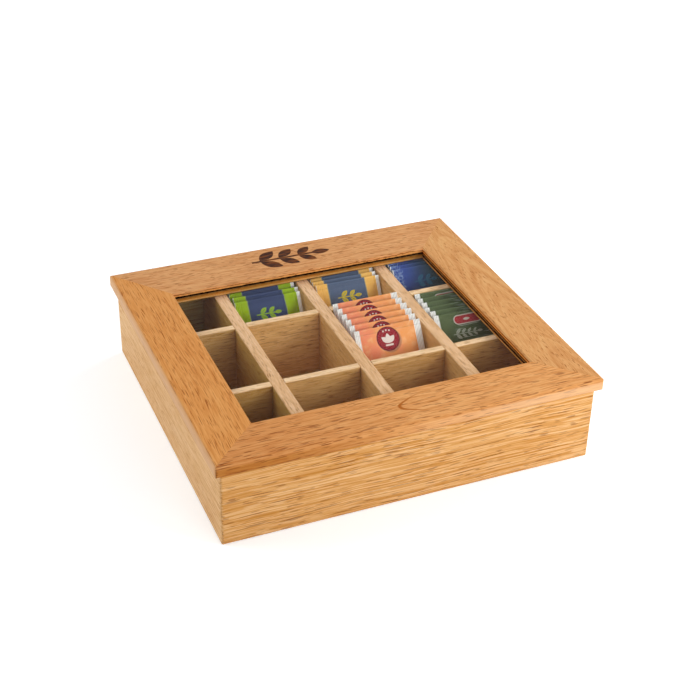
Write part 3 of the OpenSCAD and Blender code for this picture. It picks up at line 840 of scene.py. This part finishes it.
def envelopeMesh(width, length, full):
    k = sachet
    quarter = k["ridge"] / 4
    inner = width / 2 - k["strip"]
    flat = inner - k["cheek"]
    top = length - k["seam"]
    xs = stations((-width / 2, -inner, -flat, flat, inner, width / 2),
                  (quarter, k["fine"], k["coarse"], k["fine"], quarter))
    zs = stations((0, k["seam"], top - k["shoulder"], top, length),
                  (k["fine"], k["coarse"], k["shoulderStep"], k["fine"]))
    built = bmesh.new()
    uvLayer = built.loops.layers.uv.new("print")

    def vertex(side, x, z):
        height = swell(z - k["seam"], k["shoulder"]) * swell(top - z, k["shoulder"])
        half = k["film"] / 2 + (full - k["film"]) / 2 * swell(inner - abs(x), k["cheek"]) * height
        outward = max(abs(x) - inner, 0)
        crimp = k["ridgeHigh"] * math.sin(2 * math.pi * outward / k["ridge"])
        return built.verts.new((x, side * half + crimp, z))

    front, back = ([[vertex(side, x, z) for x in xs] for z in zs] for side in (-1, 1))
    lastX, lastZ = len(xs) - 1, len(zs) - 1
    for j in range(lastZ):
        for i in range(lastX):
            built.faces.new((front[j][i], front[j][i + 1], front[j + 1][i + 1], front[j + 1][i]))
            built.faces.new((back[j][i], back[j + 1][i], back[j + 1][i + 1], back[j][i + 1]))
    for j in range(lastZ):
        built.faces.new((front[j][0], front[j + 1][0], back[j + 1][0], back[j][0]))
        built.faces.new((front[j][lastX], back[j][lastX], back[j + 1][lastX], front[j + 1][lastX]))
    for i in range(lastX):
        built.faces.new((front[0][i], back[0][i], back[0][i + 1], front[0][i + 1]))
        built.faces.new((front[lastZ][i], front[lastZ][i + 1], back[lastZ][i + 1], back[lastZ][i]))
    for face in built.faces:
        face.smooth = True
        for loop in face.loops:
            loop[uvLayer].uv = (loop.vert.co.x / width + 0.5, loop.vert.co.z / length)
    mesh = bpy.data.meshes.new("envelope")
    built.to_mesh(mesh)
    built.free()
    return mesh


def stackTree():
    tree = bpy.data.node_groups.new("sachetStack", "GeometryNodeTree")
    wanted = {"Envelope": "Object", "Count": "Int", "Pitch": "Float", "First": "Vector", "Lean": "Float",
              "Slip": "Float", "Drift": "Float", "Sway": "Float", "Crumple": "Float", "Seed": "Int",
              "Paper": "Material"}
    addSockets(tree, wanted, "INPUT")
    addSockets(tree, {"Geometry": "Geometry"}, "OUTPUT")
    given = addNode(tree, "NodeGroupInput").outputs
    number = addNode(tree, "GeometryNodeInputIndex").outputs[0]

    def dice(reach, shift):
        inputs = {"Seed": plus(given["Seed"], shift), "Min": (-1, -1, -1), "Max": (1, 1, 1)}
        rolled = addStep(tree, "FunctionNodeRandomValue", inputs, "Value", data_type="FLOAT_VECTOR")
        return vectorTimes(rolled, reach)

    def shifted(geometry, offset):
        return addStep(tree, "GeometryNodeSetPosition", {"Geometry": geometry, "Offset": offset})

    row = {"Count": given["Count"], "Start Location": given["First"],
           "Offset": joinVector(0, given["Pitch"])}
    points = addStep(tree, "GeometryNodeMeshLine", row, mode="OFFSET")
    # the papers behind the first two stand further to the right
    drift = times(lowest(number, 2.0), given["Drift"])
    points = shifted(points, joinVector(drift))
    slip, k = given["Slip"], sachet
    points = shifted(points, dice(joinVector(slip, times(slip, k["slipBack"])), 0.0))
    sway = joinVector(*[times(given["Sway"], share) for share in k["swayShares"]])
    turn = vectorPlus(joinVector(times(given["Lean"], -1.0)), dice(sway, 11.0))
    paper = addStep(tree, "GeometryNodeObjectInfo", {"Object": given["Envelope"]}, "Geometry")
    sheets = addStep(tree, "GeometryNodeInstanceOnPoints",
                     {"Points": points, "Instance": paper, "Rotation": turn})
    sheets = addStep(tree, "GeometryNodeStoreNamedAttribute",
                     {"Geometry": sheets, "Name": "sachetNumber", "Value": number}, domain="INSTANCE")
    sheets = addStep(tree, "GeometryNodeRealizeInstances", {"Geometry": sheets})
    # each paper buckles a little in its own way
    waves = noise(addNode(tree, "GeometryNodeInputPosition").outputs[0], k["waves"])
    push = times(minus(waves, 0.5), given["Crumple"])
    sheets = shifted(sheets, joinVector(0, times(push, k["buckleBack"]), times(push, k["buckleUp"])))
    sheets = addStep(tree, "GeometryNodeSetMaterial", {"Geometry": sheets, "Material": given["Paper"]})
    feed(addNode(tree, "NodeGroupOutput").inputs[0], sheets)
    return tree


def setInputs(modifier, values):
    for item in modifier.node_group.interface.items_tree:
        if item.item_type == "SOCKET" and item.in_out == "INPUT" and item.name in values:
            modifier[item.identifier] = values[item.name]


def printPlace(tree, width, length):
    # places on a paper are in millimetres from the left and below the top edge
    inputs = {"Vector": addNode(tree, "ShaderNodeUVMap", uv_map="print").outputs[0],
              "Scale": (width / mm, -length / mm, 1), "Location": (0, length / mm, 0)}
    return addStep(tree, "ShaderNodeMapping", inputs)


def discMask(place, x, y, radius, soft=0.2):
    away = vectorLength(vectorMinus(place, (x, y, 0)))
    return within(away, radius, soft)


def pillMask(place, left, right, y, radius, soft=0.15):
    across, down = splitVector(place)[:2]
    nearest = lowest(highest(across, left + radius), right - radius)
    away = vectorLength(joinVector(minus(across, nearest), minus(down, y)))
    return within(away, radius, soft)


def aroundPoint(x, y, away, angle):
    # a point on a circle, with its angle from straight up
    return x + away * math.sin(math.radians(angle)), y - away * math.cos(math.radians(angle))


orangeLook = {
    "ground": ((245, 144, 109), (243, 161, 97)), "pale": (250, 190, 138), "lean": 0.009,
    "x": 29.5, "y": 11.7, "radius": 9.7, "rim": 1.0, "shadowAway": 1.5, "shadowSoft": 0.8, "shadowShare": 0.7,
    "leafAngles": (-48, 0, 48), "leafAway": 3.7, "leafDrop": 3.2, "leaf": (9.0, 4.8),
    "footDrop": 5.4, "footHalf": 3.8, "footRadius": 0.8,
    "dotAngles": (-22, 0, 22), "dotAway": 7.6, "dotRadius": 0.75,
    "shadowTone": (164, 112, 98), "rimTone": (108, 44, 50), "badge": (152, 44, 52), "ink": (232, 214, 206),
}


def orangePrint(place, k):
    # a round badge with three leaves over a short bar, and three dots above them
    warm = plus(times(splitVector(place)[0], k["lean"]), noise(place, 0.07, 3))
    ground = mixTones(slide(warm, 0.45, 0.95), k["ground"])
    cloud = slide(noise(place, 0.16, 4, 0.6), 0.48, 0.66, 0, 0.5)
    x, y, radius, away = k["x"], k["y"], k["radius"], k["shadowAway"]
    emblem = [pillMask(place, x - k["footHalf"], x + k["footHalf"], y + k["footDrop"], k["footRadius"])]
    for angle in k["leafAngles"]:
        middle = aroundPoint(x, y + k["leafDrop"], k["leafAway"], angle)
        emblem.append(leafMask(place, *middle, *k["leaf"], math.radians(angle - 90)))
    for angle in k["dotAngles"]:
        emblem.append(discMask(place, *aroundPoint(x, y, k["dotAway"], angle), k["dotRadius"]))
    shadow = discMask(place, x + away, y + away, radius + k["rim"] - 0.1, k["shadowSoft"])
    return paintLayers(ground, [
        (cloud, k["pale"]),
        (times(shadow, k["shadowShare"]), k["shadowTone"]),
        (discMask(place, x, y, radius + k["rim"]), k["rimTone"]),
        (discMask(place, x, y, radius), k["badge"]),
        (either(emblem), k["ink"]),
    ])


panelSprig = {"length": 25, "leafLength": 8.5, "leafWidth": 4.25, "pairs": 2, "stemWidth": 1.125}
greenLook = {
    "ground": ((164, 190, 32), (134, 164, 14)), "panel": (60, 70, 106), "line": (136, 146, 104),
    "ink": (150, 186, 40), "from": 12.4, "to": 47.0,
    "sprig": {"x": 29.7, "y": 14.5, **panelSprig},
}
amberLook = {
    "ground": ((250, 196, 108), (228, 170, 80)), "panel": (85, 98, 126), "line": (156, 154, 128),
    "ink": (214, 190, 48), "from": 11.6, "to": 48.0,
    "sprig": {"x": 30.5, "y": 15.0, **panelSprig},
}


def panelPrint(place, k):
    # a dark panel between two thin lines, with a sprig on it
    across = splitVector(place)[0]
    ground = mixTones(noise(place, 0.2, 4, 0.6), k["ground"])
    # painted shade in dark bands across the panel, where the paper folds
    foldShade = slide(noise(place, (0.02, 0.5, 1)), 0.45, 0.75, 0, 0.35)
    deep = mixTones(foldShade, (k["panel"], [part * 0.72 for part in k["panel"]]))
    return paintLayers(ground, [
        (between(across, k["from"] - 0.7, k["to"] + 0.7), k["line"]),
        (between(across, k["from"], k["to"]), deep),
        (sprigMask(place, **k["sprig"]), k["ink"]),
    ])


blueLook = {
    "ground": ((61, 80, 156), (63, 88, 101)), "from": 8, "to": 44,
    "lace": (134, 156, 202), "laceRepeat": 0.42, "laceWide": 8.4, "scallop": 2.2, "scallopRepeat": 0.62,
    "ink": (64, 124, 166),
    "sprig": {"x": 31, "y": 14.5, "length": 25, "leafLength": 8.5, "leafWidth": 4.2, "pairs": 2,
              "stemWidth": 1.1},
}


def bluePrint(place, k):
    # a scalloped lace border on the left, and a sprig
    across, down = splitVector(place)[:2]
    ground = mixTones(slide(across, k["from"], k["to"]), k["ground"])
    cells = addStep(treeOf(place), "ShaderNodeTexVoronoi", {"Vector": place, "Scale": k["laceRepeat"]},
                    "Distance", feature="DISTANCE_TO_EDGE")
    arches = absolute(sine(times(down, k["scallopRepeat"])))
    inBorder = isBelow(across, timesPlus(arches, k["scallop"], k["laceWide"]))
    border = times(slide(cells, 0.14, 0.06), inBorder)
    return paintLayers(ground, [
        (times(border, 0.85), k["lace"]),
        (times(sprigMask(place, **k["sprig"]), 0.8), k["ink"]),
    ])


darkGreenLook = {
    "ground": ((102, 115, 78), (74, 85, 56)), "sheen": (196, 206, 192), "ink": (206, 210, 196),
    "label": (186, 62, 68), "labelEdge": (226, 214, 204), "from": 18.4, "to": 46, "y": 7.4, "radius": 4.4,
    "leaf": (31, 7.4, 7, 2.6),
    "sprig": {"x": 29, "y": 20, "length": 30, "leafLength": 7, "leafWidth": 2.8, "pairs": 4,
              "stemWidth": 0.7},
}


def darkGreenPrint(place, k):
    # a sprig on all, painted sheen in light streaks, and a red label with a leaf on the first and last paper
    across = splitVector(place)[0]
    ground = mixTones(noise(place, 0.12, 4, 0.6), k["ground"])
    # painted sheen: light streaks that stand in for reflections on the foil
    sheen = slide(noise(place, (0.035, 0.9, 1)), 0.56, 0.62)
    sheen = times(sheen, slide(across, 14, 26))
    number = addNode(treeOf(place), "ShaderNodeAttribute", attribute_name="sachetNumber").outputs["Fac"]
    last = stacks["sachets_dark_green"]["count"] - 1
    shown = highest(isBelow(number, 0.5), isAbove(number, last - 0.5))
    edge = pillMask(place, k["from"], k["to"], k["y"], k["radius"])
    label = pillMask(place, k["from"] + 0.8, k["to"] - 0.8, k["y"], k["radius"] - 0.8)
    return paintLayers(ground, [
        (times(sheen, 0.7), k["sheen"]),
        (times(edge, shown), k["labelEdge"]),
        (times(label, shown), k["label"]),
        (times(leafMask(place, *k["leaf"]), shown), k["labelEdge"]),
        (times(sprigMask(place, **k["sprig"]), 0.85), k["ink"]),
    ])


papers = {
    # node: (slot, print, its look, width of the left and of the right strip)
    "sachets_orange": ("paper_orange", orangePrint, orangeLook, 5.0, 6.0),
    "sachets_dark_green": ("paper_dark_green", darkGreenPrint, darkGreenLook, 5.2, 5.2),
    "sachets_green": ("paper_green", panelPrint, greenLook, 0.4, 3.2),
    "sachets_amber": ("paper_amber", panelPrint, amberLook, 0.5, 3.2),
    "sachets_blue": ("paper_blue", bluePrint, blueLook, 1.0, 3.0),
}

paperKnobs = {
    # the strips' white, and the grey of the painted shade along their crimps
    "strip": ((254, 251, 249), (196, 190, 187)), "gloss": 0.15,
    "seamShade": (0.6, 0.6, 0.6, 1), "seamShare": 0.4,
    "creases": (160, 160, 90), "creaseDeep": 0.35,
}


def paperMaterial(nodeName, width, length):
    k = paperKnobs
    printed, look, left, right = papers[nodeName][1:]
    material, tree, shader = newMaterial(camel(nodeName) + "Paper")
    place = printPlace(tree, width, length)
    across, down = splitVector(place)[:2]
    # white crimped strips at the sides, with grey lines of painted shade along the crimps
    ridges = sine(times(across, 2 * math.pi / (sachet["ridge"] / mm)))
    strip = mixTones(slide(ridges, 0.3, 0.95), k["strip"])
    edge = width / mm
    atSides = highest(between(across, -1, left), between(across, edge - right, edge + 1))
    colour = paintLayers(printed(place, look), [(atSides, strip)])
    seam = absolute(minus(down, sachet["seam"] / mm))
    colour = multiplied(colour, k["seamShade"], slide(seam, 0.55, 0.2, 0, k["seamShare"]))
    creases = noise(objectPlace(tree), k["creases"], 5, 0.62)
    feedNamed(shader, {"Base Color": colour, "Specular IOR Level": k["gloss"],
                       "Roughness": slide(creases, 0.3, 0.7, 0.42, 0.6)})
    addBump(shader, times(creases, k["creaseDeep"]))
    return material


def makeStacks():
    tree = stackTree()
    for nodeName, k in stacks.items():
        plan = stackPlan(nodeName)
        envelope = addObject("envelope", envelopeMesh(plan["width"], plan["length"], k["full"]))
        stack = addObject(camel(nodeName), bpy.data.meshes.new(nodeName))
        modifier = stack.modifiers.new("stack", "NODES")
        modifier.node_group = tree
        setInputs(modifier, {
            "Envelope": envelope, "Count": k["count"], "Pitch": k["pitch"], "First": plan["first"],
            "Lean": plan["lean"], "Slip": sachet["slip"], "Drift": k["drift"], "Sway": sachet["sway"],
            "Crumple": sachet["crumple"], "Seed": k["seed"],
            "Paper": paperMaterial(nodeName, plan["width"], plan["length"])})
        bpy.context.view_layer.update()
        finished = stack.evaluated_get(bpy.context.evaluated_depsgraph_get())
        mesh = bpy.data.meshes.new_from_object(finished)
        stack.modifiers.clear()
        stack.data = mesh
        bpy.data.objects.remove(envelope)
        register(stack, nodeName, "box")
        print(nodeName, "stacked,", k["count"], "sachets,", len(mesh.polygons), "faces")


makeStacks()

studio = {
    "floorSize": 8.0,
    "floorTones": ((0.86,) * 3 + (1,), (0.8772,) * 3 + (1,)),
    "floorGlow": (0.88, 0.96, 1.0, 1),    # cool, against the timber's warm bounce
    # near and far: only the camera sees it, so the floor is white and keeps its shadow
    "floorLift": (0.43, 0.9), "liftFrom": 0.25, "liftTo": 0.8,
    "worldLevel": 0.35,
    "aim": Vector((0, 0, 0.04)),
    "lamps": {
        # name: (place, size, watts)
        "rightSoftbox": ((0.605, -0.68, 0.43), 0.5, 4.6),
        "frontSoftbox": ((0.1, -1.0, 0.5), 0.5, 2.4),
        "leftSoftbox": ((-1.1, 0.5, 0.8), 1.0, 8.4),
        "rearSoftbox": ((0.9, 0.4, 0.8), 0.6, 6.4),
    },
}


def seenDirectly(tree):
    # 1 for what the camera sees, also in the pane and through it
    path = addNode(tree, "ShaderNodeLightPath").outputs
    mirrored = highest(path["Is Glossy Ray"], path["Is Transmission Ray"])
    return highest(path["Is Camera Ray"], mirrored)


def floorMaterial():
    k = studio
    material, tree, shader = newMaterial("paleFloor")
    place = objectPlace(tree)
    lift = slide(vectorLength(place), k["liftFrom"], k["liftTo"], *k["floorLift"])
    feedNamed(shader, {"Base Color": mixTone(noise(place, 30, 4), *k["floorTones"]), "Roughness": 0.9,
                       "Specular IOR Level": 0.1, "Emission Color": k["floorGlow"],
                       "Emission Strength": times(seenDirectly(tree), lift)})
    return material


def makeStudio():
    half = studio["floorSize"] / 2
    corners = [(x * half, y * half, 0) for x, y in ((-1, -1), (1, -1), (1, 1), (-1, 1))]
    mesh = bpy.data.meshes.new("studioFloor")
    mesh.from_pydata(corners, [], [(0, 1, 2, 3)])
    mesh.materials.append(floorMaterial())
    addObject("studioFloor", mesh)

    world = bpy.data.worlds.new("studioWorld")
    bpy.context.scene.world = world
    world.use_nodes = True
    tree = world.node_tree
    level = slide(seenDirectly(tree), 0, 1, studio["worldLevel"], 1.0, "LINEAR")
    feedNamed(tree.nodes["Background"], {"Color": (1, 1, 1, 1), "Strength": level})

    for name, (place, wide, watts) in studio["lamps"].items():
        lamp = bpy.data.lights.new(name, "AREA")
        lamp.shape = "DISK"
        lamp.size = wide
        lamp.energy = watts
        holder = addObject(name, lamp)
        holder.location = place
        holder.visible_glossy = False    # no lamp shows as a disc in the pane
        holder.visible_transmission = False
        holder.rotation_euler = (studio["aim"] - Vector(place)).to_track_quat("-Z", "Y").to_euler()


viewpoint = {"lens": 72.42, "azimuth": -23.19, "elevation": 32.28, "roll": 1.26,
             "away": 1.25918, "aside": 0.00679, "above": 0.04551}


def makeCamera():
    k = viewpoint
    turn, lift, roll = (math.radians(k[name]) for name in ("azimuth", "elevation", "roll"))
    back = Vector((math.sin(turn) * math.cos(lift), -math.cos(turn) * math.cos(lift), math.sin(lift)))
    side = (-back).cross(Vector((0, 0, 1))).normalized()
    up = back.cross(side)
    side, up = side * math.cos(roll) + up * math.sin(roll), up * math.cos(roll) - side * math.sin(roll)
    camera = addObject("camera", bpy.data.cameras.new("camera"))
    camera.data.lens = k["lens"]
    camera.data.sensor_width = 36
    camera.data.clip_end = 50
    camera.matrix_world = Matrix((side, up, back)).transposed().to_4x4()
    camera.location = back * k["away"] + side * k["aside"] + up * k["above"]
    bpy.context.scene.camera = camera


makeStudio()
makeCamera()
bpy.context.scene.view_settings.view_transform = "Standard"
print("studio ready")
